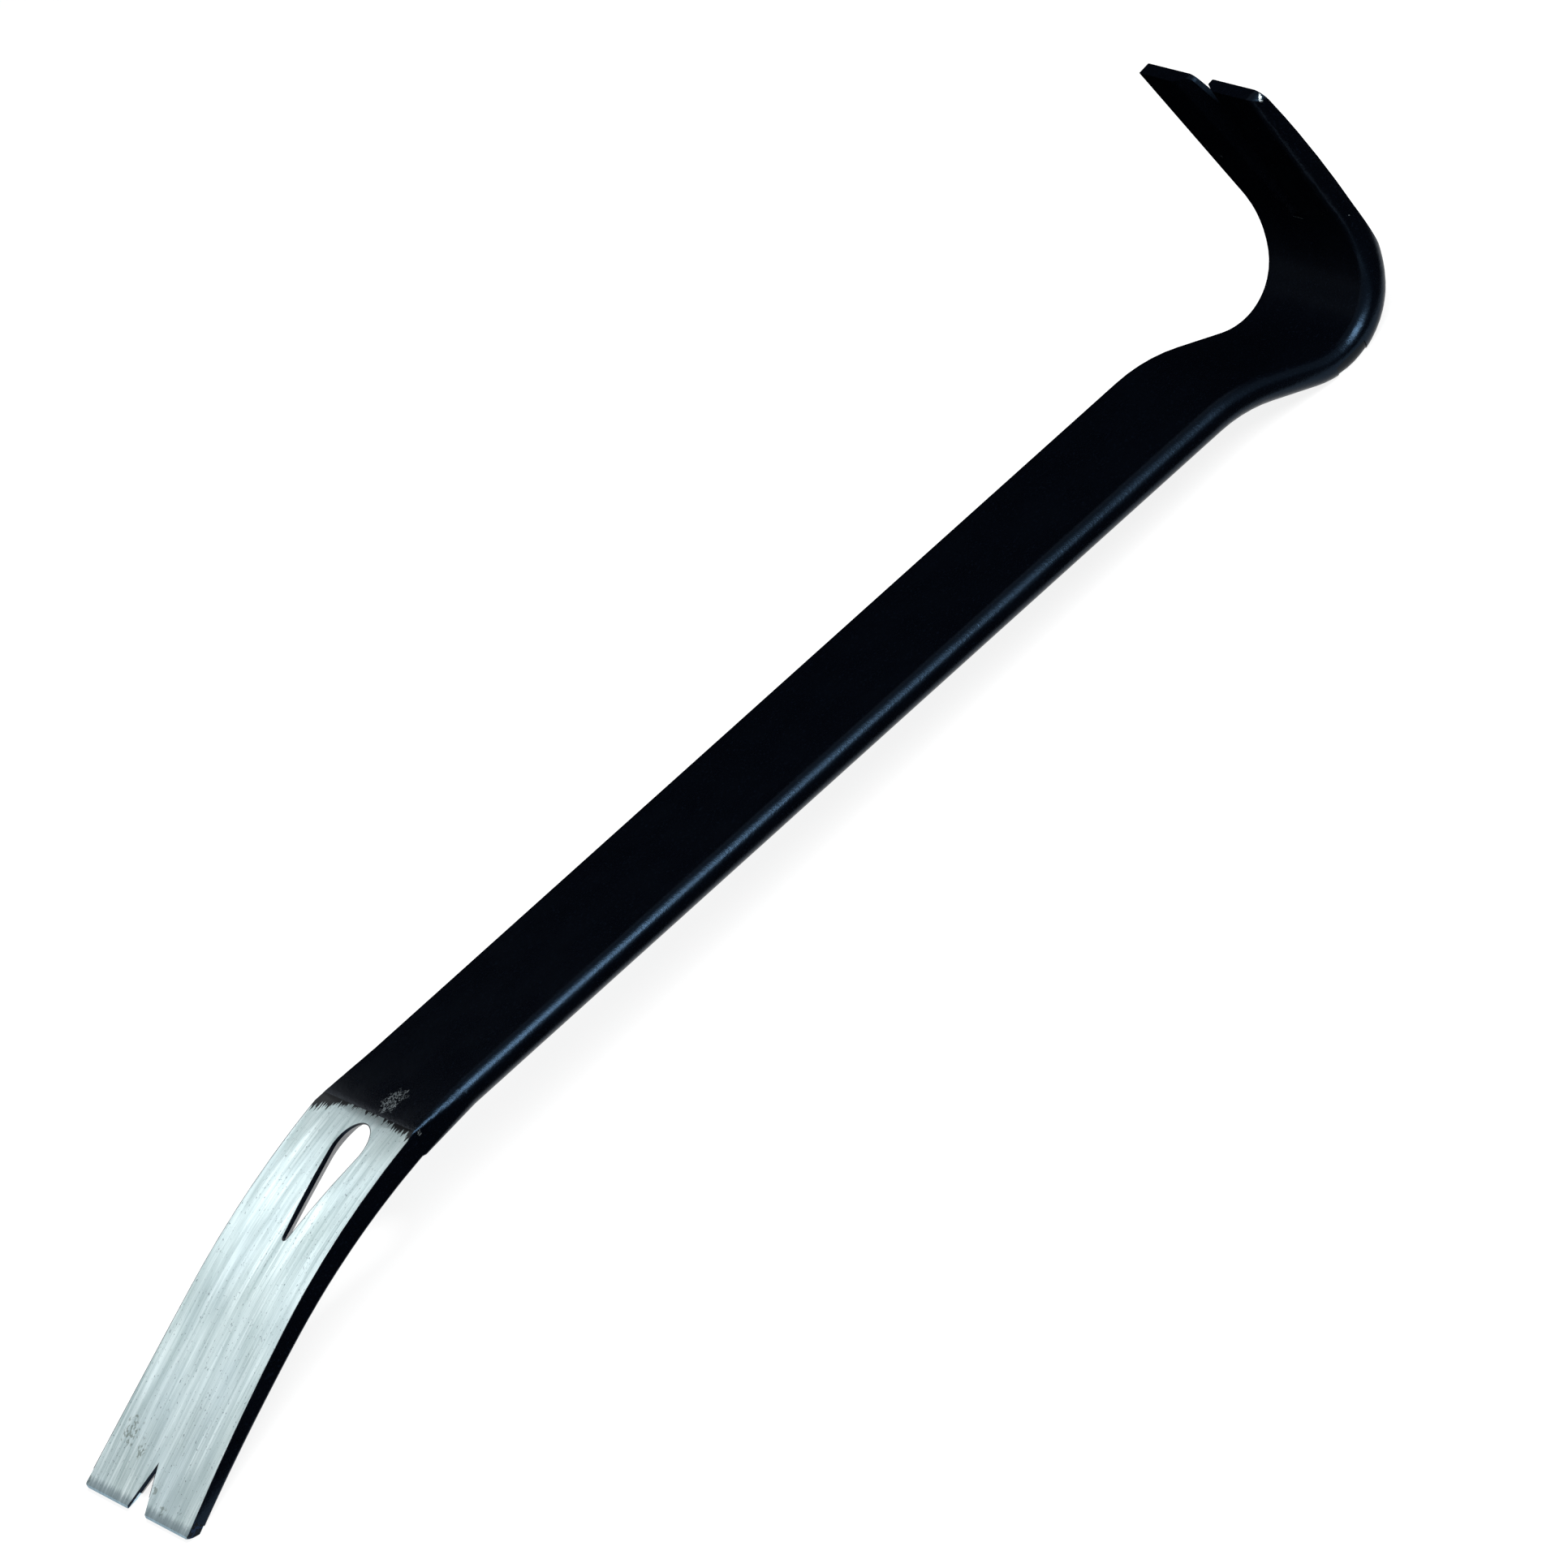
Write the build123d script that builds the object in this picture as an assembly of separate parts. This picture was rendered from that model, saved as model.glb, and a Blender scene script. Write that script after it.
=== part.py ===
from build123d import *
import math
import os

# A flat pry bar: one steel forging under a black coat that is ground away on top of the blade.
# Millimetres and degrees. While it is built, the shank's top face lies at z = 0 and runs from
# x = 0 along +X to the hook, and the blade runs along -X. At the end the bar is tipped to lie on
# its blade tip and its heel. Lengths along the blade are measured from the start of its ground
# face towards the tip, and lengths along the hook follow its inner face.

# Bar stock
BAR_WIDTH = 43.6
BAR_THICKNESS = 6.1
EDGE_RADIUS = 2.8
EDGE_SHARE = 0.46
SHANK_LENGTH = 224.0
COAT = 0.2

# Shoulder, where the round-edged stock becomes the square-edged blade
SHOULDER_LENGTH = 15.5
SHOULDER_DROP = 0.45
SHOULDER_THINNING = 0.1
STEP_LENGTH = 3.0
SQUARE_EDGE = 0.5

# Blade
GRIND_START = 14.5
GRIND_DEPTH = 0.37
GRIND_START_ANGLE = 9.0
GRIND_RUN_OUT_ANGLE = 6.0
GRIND_ALLOWANCE = 0.4
BLADE_BEND_RADIUS = 213.0
BLADE_BEND_ANGLE = 13.8
BLADE_TIP_RADIUS = 1060.0
BLADE_TIP_LENGTH = 48.4
BLADE_ROOT_THICKNESS = 5.2
BLADE_TIP_THICKNESS = 2.7
BLADE_ROOT_WIDTH = 44.7
BLADE_TIP_WIDTH = 51.1
BLADE_FLARE_POWER = 3.0
BLADE_CORNER_RADIUS = 1.2
TIP_BEVEL = 0.5
TIP_SLANT = 2.4
BARE_TIP_LENGTH = 4.2

# Nail slot in the blade: a wide round end towards the shank and a narrow end towards the tip
SLOT_WIDE_RADIUS = 6.6
SLOT_NARROW_RADIUS = 1.3
SLOT_CENTRES = 23.0
SLOT_FROM_GRIND = 9.7
SLOT_SIDE_OFFSET = 2.8

# V notch in the blade tip
BLADE_NOTCH_MOUTH = 9.0
BLADE_NOTCH_DEPTH = 11.9
BLADE_NOTCH_ROUNDING = 0.4

# Bevel that opens the slot and the blade's notch underneath
BLADE_BEVEL_ANGLE = 54.0
BLADE_BEVEL_LAND = 0.6

# Hook
NECK_RADIUS = 40.6
NECK_ANGLE = 23.7
NECK_STRAIGHT = 11.5
HEEL_RADIUS = 15.3
HEEL_ANGLE = 88.0
THROAT_RADIUS = 26.5
CLAW_LEAN = 5.6
CLAW_LENGTH = 37.5
CLAW_TIP_WIDTH = 51.4
CLAW_CORNER_RADIUS = 2.6

# Ground outer face of the claw: it starts at a knee in the throat and thins the claw to its tip
CLAW_KNEE_ANGLE = 8.0
CLAW_MIDDLE_THICKNESS = 4.2
CLAW_TIP_THICKNESS = 2.7

# V notch in the claw, and the bevel that opens it on the inner face
CLAW_NOTCH_MOUTH = 7.6
CLAW_NOTCH_DEPTH = 11.0
CLAW_NOTCH_ROUNDING = 2.2
CLAW_BEVEL_ANGLE = 66.0
CLAW_BEVEL_LAND = 0.7

# Bare strip where the bar rocks on its heel
HEEL_WEAR_LENGTH = 9.0

# Room for cutters to pass right through the bar
REACH = 60.0


class Station:
    """A place on the bar's upper (or inner) face line, with its heading above +X."""

    def __init__(self, x, z, heading):
        self.x = x
        self.z = z
        self.heading = heading

    def along(self):
        """Unit vector along the face."""
        turn = math.radians(self.heading)
        return math.cos(turn), math.sin(turn)

    def normal(self):
        """Unit vector out of the upper face."""
        turn = math.radians(self.heading)
        return -math.sin(turn), math.cos(turn)

    def ahead(self, length):
        ax, az = self.along()
        return Station(self.x + length * ax, self.z + length * az, self.heading)

    def raised(self, height):
        nx, nz = self.normal()
        return Station(self.x + height * nx, self.z + height * nz, self.heading)

    def point(self):
        return self.x, 0, self.z

    def turned(self, radius, angle):
        """Follow an arc of the upper face; a positive angle turns the bar upwards."""
        side = math.copysign(1.0, angle)
        start = math.radians(self.heading)
        end = math.radians(self.heading + angle)
        x = self.x + side * radius * (math.sin(end) - math.sin(start))
        z = self.z - side * radius * (math.cos(end) - math.cos(start))
        return Station(x, z, self.heading + angle)

    def backed(self, radius, angle):
        """Go backwards along an arc that steepens the heading."""
        start = math.radians(self.heading)
        end = math.radians(self.heading + angle)
        x = self.x - radius * (math.sin(end) - math.sin(start))
        z = self.z - radius * (math.cos(start) - math.cos(end))
        return Station(x, z, self.heading + angle)

    def plan(self, out):
        """Plane on the face with its x along the bar, or against it where out is -1."""
        ax, az = self.along()
        nx, nz = self.normal()
        return Plane(origin=self.point(), x_dir=(out * ax, 0, out * az), z_dir=(nx, 0, nz))


def section(station, width, thickness, radius, skin, allowance=0.0):
    """Rounded rectangle across the bar, under its face line, grown by the skin all round."""
    middle = station.raised((allowance - thickness) / 2)
    ax, az = station.along()
    plane = Plane(origin=middle.point(), x_dir=(0, 1, 0), z_dir=(ax, 0, az))
    height = thickness + allowance + 2 * skin
    return plane * RectangleRounded(width + 2 * skin, height, radius + skin)


def edge_radius():
    """Round edge of the stock, which takes at most its share of the bar's thickness."""
    return min(EDGE_RADIUS, EDGE_SHARE * BAR_THICKNESS)


def stock(station, skin):
    """Section of the plain bar."""
    return section(station, BAR_WIDTH, BAR_THICKNESS, edge_radius(), skin)


def blade_bend_length():
    return BLADE_BEND_RADIUS * math.radians(BLADE_BEND_ANGLE)


def blade_length():
    return blade_bend_length() + BLADE_TIP_LENGTH


def blade_at(length):
    """Station of the ground face. It runs towards -X and still heads up towards the shank."""
    start = Station(-GRIND_START, -GRIND_DEPTH, GRIND_START_ANGLE)
    bent = min(length, blade_bend_length())
    bend_end = start.backed(BLADE_BEND_RADIUS, math.degrees(bent / BLADE_BEND_RADIUS))
    rest = length - bent
    return bend_end.backed(BLADE_TIP_RADIUS, math.degrees(rest / BLADE_TIP_RADIUS))


def blade_width(length):
    share = (length / blade_length()) ** BLADE_FLARE_POWER
    return BLADE_ROOT_WIDTH + (BLADE_TIP_WIDTH - BLADE_ROOT_WIDTH) * share


def blade_thickness(length):
    share = length / blade_length()
    return BLADE_ROOT_THICKNESS + (BLADE_TIP_THICKNESS - BLADE_ROOT_THICKNESS) * share


def blade_section(length, skin):
    """Square-edged section with a grinding allowance on its upper face."""
    return section(blade_at(length), blade_width(length), blade_thickness(length), SQUARE_EDGE,
                   skin, GRIND_ALLOWANCE)


def blade_solid(skin):
    count = 12
    span = blade_length() - STEP_LENGTH
    sections = [blade_section(STEP_LENGTH + span * k / count, skin) for k in range(count + 1)]
    return loft(sections) + extrude(sections[-1], -2 * COAT)


def shoulder_solid(skin):
    """Shank end to shoulder end, then a short step down to the root of the blade."""
    end = Station(-SHOULDER_LENGTH, -SHOULDER_DROP, 0.0)
    thickness = BAR_THICKNESS - SHOULDER_THINNING
    shoulder = section(end, BAR_WIDTH, thickness, SQUARE_EDGE, skin)
    spread = loft([stock(Station(0.0, 0.0, 0.0), skin), shoulder], ruled=True)
    return spread + loft([shoulder, blade_section(STEP_LENGTH, skin)], ruled=True)


def hook_landmarks():
    """Neck start, neck end, heel start, heel end, claw root and claw tip on the inner face."""
    neck = Station(SHANK_LENGTH, 0.0, 0.0)
    neck_end = neck.turned(NECK_RADIUS, -NECK_ANGLE)
    heel = neck_end.ahead(NECK_STRAIGHT)
    heel_end = heel.turned(HEEL_RADIUS, HEEL_ANGLE)
    claw_root = heel_end.turned(THROAT_RADIUS, 90.0 + CLAW_LEAN - heel_end.heading)
    claw_tip = claw_root.ahead(CLAW_LENGTH)
    return neck, neck_end, heel, heel_end, claw_root, claw_tip


def bend(start, end, radius, skin):
    """Plain bar carried round an arc from one station to the next."""
    angle = end.heading - start.heading
    side = math.copysign(1.0, angle)
    centre = start.raised(side * radius)
    return revolve(stock(start, skin), Axis(centre.point(), (0, -side, 0)),
                   revolution_arc=abs(angle))


def hook_solid(skin):
    """Neck, heel, throat and flared claw, before the claw is ground."""
    neck, neck_end, heel, heel_end, claw_root, claw_tip = hook_landmarks()
    body = bend(neck, neck_end, NECK_RADIUS, skin)
    body = body + extrude(stock(neck_end, skin), NECK_STRAIGHT)
    body = body + bend(heel, heel_end, HEEL_RADIUS, skin)
    body = body + bend(heel_end, claw_root, THROAT_RADIUS, skin)
    end = section(claw_tip, CLAW_TIP_WIDTH, BAR_THICKNESS, edge_radius(), skin)
    claw = loft([stock(claw_root, skin), end], ruled=True)
    return body + claw + extrude(end, 2 * COAT)


def claw_grind(skin):
    """Everything outside the slightly crowned face ground on the back of the claw."""
    heel_end, claw_root, claw_tip = hook_landmarks()[3:]
    knee = heel_end.turned(THROAT_RADIUS, CLAW_KNEE_ANGLE).raised(-BAR_THICKNESS - skin)
    middle = claw_root.ahead(CLAW_LENGTH / 2).raised(-CLAW_MIDDLE_THICKNESS - skin)
    tip = claw_tip.raised(-CLAW_TIP_THICKNESS - skin)
    past = tip.ahead(5.0)
    outline = Wire([
        ThreePointArc(knee.point(), middle.point(), tip.point()),
        Line(tip.point(), past.point()),
        Line(past.point(), (past.x + REACH, 0, past.z)),
        Line((past.x + REACH, 0, past.z), (past.x + REACH, 0, knee.z)),
        Line((past.x + REACH, 0, knee.z), knee.point()),
    ])
    return extrude(Face(outline), REACH, dir=(0, 1, 0), both=True)


def end_outline(half, flare, notch_mouth, notch_depth, back, skin):
    """Plan outline of a notched end, and how deep its notch is under the skin."""
    lean = math.atan2(notch_mouth / 2, notch_depth)
    apex = notch_depth - skin / math.sin(lean)
    mouth = (apex + skin) * math.tan(lean)
    side = half + skin + 0.05
    far = side - flare * (back + skin)
    points = [(-back, far), (skin, side), (skin, mouth), (-apex, 0), (skin, -mouth),
              (skin, -side), (-back, -far)]
    return make_face(Polyline(*points, close=True))


def end_cut(tip, out, half, flare, notch_size, corner, rounding, skin):
    """Cutter that squares an end, rounds its plan corners and opens its V notch."""
    mouth, depth = notch_size
    back = depth + 4.0
    keep = end_outline(half, flare, mouth, depth, back, skin)
    across = keep.vertices().filter_by_position(Axis.X, skin - 0.01, skin + 0.01)
    across = across.sort_by(Axis.Y)
    keep = fillet([across[0], across[3]], corner + skin)
    inner = keep.vertices().filter_by_position(Axis.X, skin - 0.01, skin + 0.01)
    inner = inner.filter_by_position(Axis.Y, -mouth, mouth)
    keep = fillet(inner, rounding + skin)
    rim = Pos(REACH / 2 - back + 1.0, 0) * Rectangle(REACH, 2 * REACH)
    return extrude(tip.plan(out) * (rim - keep), REACH / 4, both=True)


def tip_trim(skin):
    """Bevel on the upper front edge, and the front face slanted back to its lower edge."""
    tip = blade_at(blade_length())
    ax, az = tip.along()
    plane = Plane(origin=tip.point(), x_dir=(ax, 0, az), z_dir=(0, -1, 0))
    lower = -BLADE_TIP_THICKNESS
    slope = TIP_SLANT / (BLADE_TIP_THICKNESS - TIP_BEVEL)
    past = 3.0
    shape = Polyline((TIP_BEVEL + past - skin, past), (-skin, -TIP_BEVEL),
                     (TIP_SLANT + slope * past - skin, lower - past),
                     (-REACH / 4, lower - past), (-REACH / 4, past), close=True)
    return extrude(plane * make_face(shape), REACH, both=True)


def slot_plan():
    """Plane on the blade's face at the round end, with x towards the narrow end."""
    wide = blade_at(SLOT_FROM_GRIND)
    narrow = blade_at(SLOT_FROM_GRIND + SLOT_CENTRES)
    chord = Vector(narrow.x - wide.x, 0, narrow.z - wide.z)
    plane = Plane(origin=(wide.x, -SLOT_SIDE_OFFSET, wide.z), x_dir=chord,
                  z_dir=(chord.Z, 0, -chord.X))
    return plane, chord.length


def teardrop(length, wide, narrow):
    """Two circles and their outer tangents."""
    tilt = math.acos((wide - narrow) / length)
    cos, sin = math.cos(tilt), math.sin(tilt)
    upper = Line((wide * cos, wide * sin), (length + narrow * cos, narrow * sin))
    tail = ThreePointArc(upper @ 1, (length + narrow, 0), (length + narrow * cos, -narrow * sin))
    lower = Line(tail @ 1, (wide * cos, -wide * sin))
    head = ThreePointArc(lower @ 1, (-wide, 0), upper @ 0)
    return make_face([upper, tail, lower, head])


def nail_slot(skin):
    """Teardrop slot cut square to the blade, then bevelled from underneath."""
    plane, length = slot_plan()
    outline = teardrop(length, SLOT_WIDE_RADIUS - skin, SLOT_NARROW_RADIUS - skin)
    through = extrude(plane * outline, REACH / 6, both=True)
    land = BLADE_BEVEL_LAND + skin / math.sin(math.radians(BLADE_BEVEL_ANGLE))
    depth = 2 * BLADE_ROOT_THICKNESS - land
    grow = depth * math.tan(math.radians(BLADE_BEVEL_ANGLE))
    top = plane.offset(-land) * teardrop(length, SLOT_WIDE_RADIUS, SLOT_NARROW_RADIUS)
    bottom = plane.offset(-land - depth) * teardrop(length, SLOT_WIDE_RADIUS + grow,
                                                    SLOT_NARROW_RADIUS + grow)
    return through + loft([top, bottom], ruled=True)


def notch_bevel(plane, mouth, depth, angle, rise):
    """Wedge that widens a V notch along the plane's normal from the plane on."""
    lean = math.atan2(mouth / 2, depth)
    grow = abs(rise) * math.tan(math.radians(angle))
    past = 4.0

    def vee(spread, height):
        apex = depth + spread / math.sin(lean)
        half = (apex + past) * math.tan(lean)
        return plane.offset(height) * make_face(Polyline((-apex, 0), (past, half), (past, -half),
                                                         close=True))

    return loft([vee(0.0, 0.0), vee(grow, rise)], ruled=True)


def blade_notch_bevel(skin):
    tip = blade_at(blade_length())
    land = BLADE_BEVEL_LAND + skin / math.sin(math.radians(BLADE_BEVEL_ANGLE))
    return notch_bevel(tip.raised(-land).plan(-1), BLADE_NOTCH_MOUTH, BLADE_NOTCH_DEPTH,
                       BLADE_BEVEL_ANGLE, -2 * BLADE_TIP_THICKNESS)


def claw_notch_bevel(skin):
    """The claw's outer face slopes against its inner face, and the land follows the outer one."""
    claw_tip = hook_landmarks()[5]
    taper = (CLAW_MIDDLE_THICKNESS - CLAW_TIP_THICKNESS) / (CLAW_LENGTH / 2)
    outer = claw_tip.raised(-CLAW_TIP_THICKNESS)
    outer = Station(outer.x, outer.z, claw_tip.heading + math.degrees(math.atan(taper)))
    land = CLAW_BEVEL_LAND + skin / math.sin(math.radians(CLAW_BEVEL_ANGLE))
    return notch_bevel(outer.raised(land).plan(1), CLAW_NOTCH_MOUTH, CLAW_NOTCH_DEPTH,
                       CLAW_BEVEL_ANGLE, 2 * CLAW_TIP_THICKNESS)


def grinder():
    """Everything above the blade's ground face, from past the tip to where it runs out."""
    run_out = blade_at(0.0).turned(BLADE_BEND_RADIUS, -GRIND_RUN_OUT_ANGLE)
    bend_end = blade_at(blade_bend_length())
    tip_middle = blade_at(blade_bend_length() + BLADE_TIP_LENGTH / 2)
    past_tip = blade_at(blade_length() + 10.0)
    top = run_out.z + 20.0
    outline = Wire([
        ThreePointArc(run_out.point(), blade_at(blade_bend_length() / 4).point(),
                      bend_end.point()),
        ThreePointArc(bend_end.point(), tip_middle.point(), past_tip.point()),
        Line(past_tip.point(), (past_tip.x, 0, top)),
        Line((past_tip.x, 0, top), (run_out.x, 0, top)),
        Line((run_out.x, 0, top), run_out.point()),
    ])
    return extrude(Face(outline), REACH, dir=(0, 1, 0), both=True)


def forging(skin):
    """The bar before its blade is ground, grown on every side by the skin."""
    tip = blade_at(blade_length())
    claw_tip = hook_landmarks()[5]
    blade_notch = BLADE_NOTCH_MOUTH, BLADE_NOTCH_DEPTH
    claw_notch = CLAW_NOTCH_MOUTH, CLAW_NOTCH_DEPTH
    inboard = blade_length() - BLADE_NOTCH_DEPTH - 4.0
    blade_flare = (BLADE_TIP_WIDTH - blade_width(inboard)) / 2 / (BLADE_NOTCH_DEPTH + 4.0)
    claw_flare = (CLAW_TIP_WIDTH - BAR_WIDTH) / 2 / CLAW_LENGTH
    body = extrude(stock(Station(0.0, 0.0, 0.0), skin), SHANK_LENGTH)
    body = body + shoulder_solid(skin) + blade_solid(skin) + hook_solid(skin)
    body = body - claw_grind(skin) - tip_trim(skin)
    body = body - end_cut(tip, -1, BLADE_TIP_WIDTH / 2, blade_flare, blade_notch,
                          BLADE_CORNER_RADIUS, BLADE_NOTCH_ROUNDING, skin)
    body = body - end_cut(claw_tip, 1, CLAW_TIP_WIDTH / 2, claw_flare, claw_notch,
                          CLAW_CORNER_RADIUS, CLAW_NOTCH_ROUNDING, skin)
    return body - nail_slot(skin) - blade_notch_bevel(skin) - claw_notch_bevel(skin)


def heel_centre():
    return hook_landmarks()[2].raised(HEEL_RADIUS)


def lying_angle():
    """How far the bar tips down at the hook before its blade tip and heel share one floor."""
    low = blade_at(blade_length()).ahead(TIP_SLANT).raised(-BLADE_TIP_THICKNESS)
    heel = heel_centre()
    reach = math.hypot(heel.x - low.x, heel.z - low.z)
    climb = math.atan2(heel.z - low.z, heel.x - low.x)
    return math.degrees(climb - math.asin((HEEL_RADIUS + BAR_THICKNESS) / reach))


def bare_places():
    """Cutters for the places where the coat is gone besides the blade's ground face."""
    tip = blade_at(blade_length())
    ax, az = tip.along()
    inboard = Plane(origin=tip.ahead(BARE_TIP_LENGTH).point(), z_dir=(ax, 0, az))
    bare_tip = extrude(inboard * Rectangle(2 * REACH, 2 * REACH), -REACH / 2)
    under = Pos(*heel_centre().point()) * Rot(0, -lying_angle(), 0)
    worn = under * Pos(0, 0, -HEEL_RADIUS - BAR_THICKNESS)
    return bare_tip + worn * Box(HEEL_WEAR_LENGTH, 2 * REACH, BAR_THICKNESS)


def lie_down(shape):
    """Tip the bar onto its blade tip and heel, with the heel's lowest line at z = 0."""
    tipped = Rot(0, lying_angle(), 0)
    heel = tipped * Pos(*heel_centre().point())
    floor = heel.position.Z - HEEL_RADIUS - BAR_THICKNESS
    return Pos(0, 0, -floor) * tipped * shape


if __name__ == "__main__":
    os.makedirs("parts", exist_ok=True)
    raw = forging(0.0)
    steel = lie_down(raw - grinder())
    coat = lie_down(forging(COAT) - raw - grinder() - bare_places())
    box = steel.bounding_box()
    home = Pos(-(box.min.X + box.max.X) / 2, 0, 0)
    export_step(home * steel, "parts/forged_bar.step")
    export_step(home * coat, "parts/black_coat.step")
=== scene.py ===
# %% [markdown]
# # Finishing a flat pry bar
#
# A flat pry bar is one forging of spring steel. It is dipped or sprayed black all over, and then
# the top of its blade is ground bright on a belt, so that the blade is thin and true. The whole
# look of the tool lies in three things: the satin black paint, the bright ground steel, and the
# ragged line where the belt lifted the paint. This lesson loads the finished shape, gives it smooth
# shading, builds the two finishes out of small node groups, and sets up a studio that shows both.

# %% Load the shape
import math

import bpy
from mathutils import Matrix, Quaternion, Vector


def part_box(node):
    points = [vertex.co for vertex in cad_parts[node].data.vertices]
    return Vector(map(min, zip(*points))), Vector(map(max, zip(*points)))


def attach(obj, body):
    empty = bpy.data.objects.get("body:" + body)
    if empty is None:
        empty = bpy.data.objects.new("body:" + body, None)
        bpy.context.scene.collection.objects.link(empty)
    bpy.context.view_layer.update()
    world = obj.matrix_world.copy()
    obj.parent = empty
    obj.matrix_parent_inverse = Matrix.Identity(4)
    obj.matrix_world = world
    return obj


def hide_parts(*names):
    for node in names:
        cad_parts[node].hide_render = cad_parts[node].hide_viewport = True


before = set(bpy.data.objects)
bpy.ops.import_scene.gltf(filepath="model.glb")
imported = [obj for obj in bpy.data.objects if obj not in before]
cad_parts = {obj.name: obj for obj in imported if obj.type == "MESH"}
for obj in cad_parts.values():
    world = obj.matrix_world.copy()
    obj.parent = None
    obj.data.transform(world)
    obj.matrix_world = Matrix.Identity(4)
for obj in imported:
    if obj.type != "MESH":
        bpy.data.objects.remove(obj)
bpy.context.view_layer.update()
steel_low, steel_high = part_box("forged_bar")
blade_tip = steel_low.x
hook_end = steel_high.x
print("bar length", round(hook_end - blade_tip, 4), "m, height", round(steel_high.z, 4), "m")

# %% [markdown]
# ## Smooth skins over the exact shape
#
# The shape arrives as loose triangles. They could be left as they are, but then no vertex is shared
# and the round edges shade in flats. A merged copy shades smoothly instead. Smoothing by angle
# keeps the crisp edges of the blade, and weighting each normal by the area of its face keeps the
# broad flats of the bar truly flat, so the whole bend of the light happens in the round edges.

# %% Copy, merge and smooth
MERGE_DISTANCE = 1e-6
SMOOTH_ANGLE = math.radians(32)


def only(piece):
    """Select this piece and nothing else."""
    bpy.ops.object.select_all(action="DESELECT")
    piece.select_set(True)
    bpy.context.view_layer.objects.active = piece


def smooth_skin(node, name):
    """A merged and smoothly shaded piece that stands for a node of the frame."""
    skin = bpy.data.objects.new(name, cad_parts[node].data.copy())
    bpy.context.scene.collection.objects.link(skin)
    only(skin)
    bpy.ops.mesh.customdata_custom_splitnormals_clear()
    bpy.ops.object.mode_set(mode="EDIT")
    bpy.ops.mesh.select_all(action="SELECT")
    bpy.ops.mesh.remove_doubles(threshold=MERGE_DISTANCE)
    bpy.ops.object.mode_set(mode="OBJECT")
    bpy.ops.object.shade_smooth_by_angle(angle=SMOOTH_ANGLE)
    bpy.ops.object.modifier_add(type="WEIGHTED_NORMAL")
    skin.modifiers[0].keep_sharp = True
    bpy.ops.object.modifier_apply(modifier=skin.modifiers[0].name)
    print(name, "has", len(skin.data.vertices), "vertices and", len(skin.data.polygons), "faces")
    return skin


ground_steel = smooth_skin("forged_bar", "ground_steel")
black_paint = smooth_skin("black_coat", "black_paint")

# %% [markdown]
# ## A short way to write nodes
#
# A finish is a long sum of small steps. Each step is one node, and writing it out in full takes
# four or five lines. This helper adds a node, feeds its inputs from plain numbers or from other
# nodes, and hands back the output, so that a finish can be read like the sum that it is.

# %% Node helper


class Graph:
    """Adds nodes to one tree. Inputs are numbers, colours or other nodes' outputs."""

    def __init__(self, tree):
        self.tree = tree

    def add(self, kind, **settings):
        node = self.tree.nodes.new(kind)
        for name, value in settings.items():
            setattr(node, name, value)
        return node

    def feed(self, socket, source):
        if isinstance(source, bpy.types.NodeSocket):
            self.tree.links.new(source, socket)
        else:
            socket.default_value = source

    def math(self, operation, *values):
        node = self.add("ShaderNodeMath", operation=operation)
        for socket, value in zip(node.inputs, values):
            self.feed(socket, value)
        return node.outputs[0]

    def clamped(self, operation, *values):
        result = self.math(operation, *values)
        result.node.use_clamp = True
        return result

    def vector(self, operation, first, second, output="Vector"):
        node = self.add("ShaderNodeVectorMath", operation=operation)
        self.feed(node.inputs[0], first)
        self.feed(node.inputs[1], second)
        return node.outputs[output]

    def split(self, vector):
        node = self.add("ShaderNodeSeparateXYZ")
        self.feed(node.inputs[0], vector)
        return node.outputs[0], node.outputs[1], node.outputs[2]

    def join(self, x, y, z):
        node = self.add("ShaderNodeCombineXYZ")
        for socket, value in zip(node.inputs, (x, y, z)):
            self.feed(socket, value)
        return node.outputs[0]

    def noise(self, vector, scale, detail):
        node = self.add("ShaderNodeTexNoise")
        self.feed(node.inputs["Vector"], vector)
        self.feed(node.inputs["Scale"], scale)
        self.feed(node.inputs["Detail"], detail)
        return node.outputs[0]

    def remap(self, value, low, high, to_low=0.0, to_high=1.0):
        """Stretch low..high to to_low..to_high, held at its ends."""
        node = self.add("ShaderNodeMapRange", clamp=True)
        for socket, number in zip(node.inputs, (value, low, high, to_low, to_high)):
            self.feed(socket, number)
        return node.outputs[0]

    def weigh(self, first, first_weight, second, second_weight):
        """The sum of two values, each times its weight."""
        weighed = self.math("MULTIPLY", first, first_weight)
        return self.math("MULTIPLY_ADD", second, second_weight, weighed)

    def sway(self, start, marks, reach):
        """Start, pushed to and fro by marks that lie about a half."""
        return self.math("MULTIPLY_ADD", self.math("SUBTRACT", marks, 0.5), reach, start)

    def blend(self, share, first, second):
        """A colour that goes from first to second."""
        node = self.add("ShaderNodeMix", data_type="RGBA")
        self.feed(node.inputs[0], share)
        self.feed(node.inputs[6], first)
        self.feed(node.inputs[7], second)
        return node.outputs[2]

    def group(self, tree, **inputs):
        """Place a node group and return its first output."""
        node = self.add("ShaderNodeGroup", node_tree=tree)
        for name, value in inputs.items():
            self.feed(node.inputs[name.replace("_", " ").title()], value)
        return node.outputs[0]


print("node helper can", ", ".join(name for name in vars(Graph) if name[0] != "_"))

# %% Group helper


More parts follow.
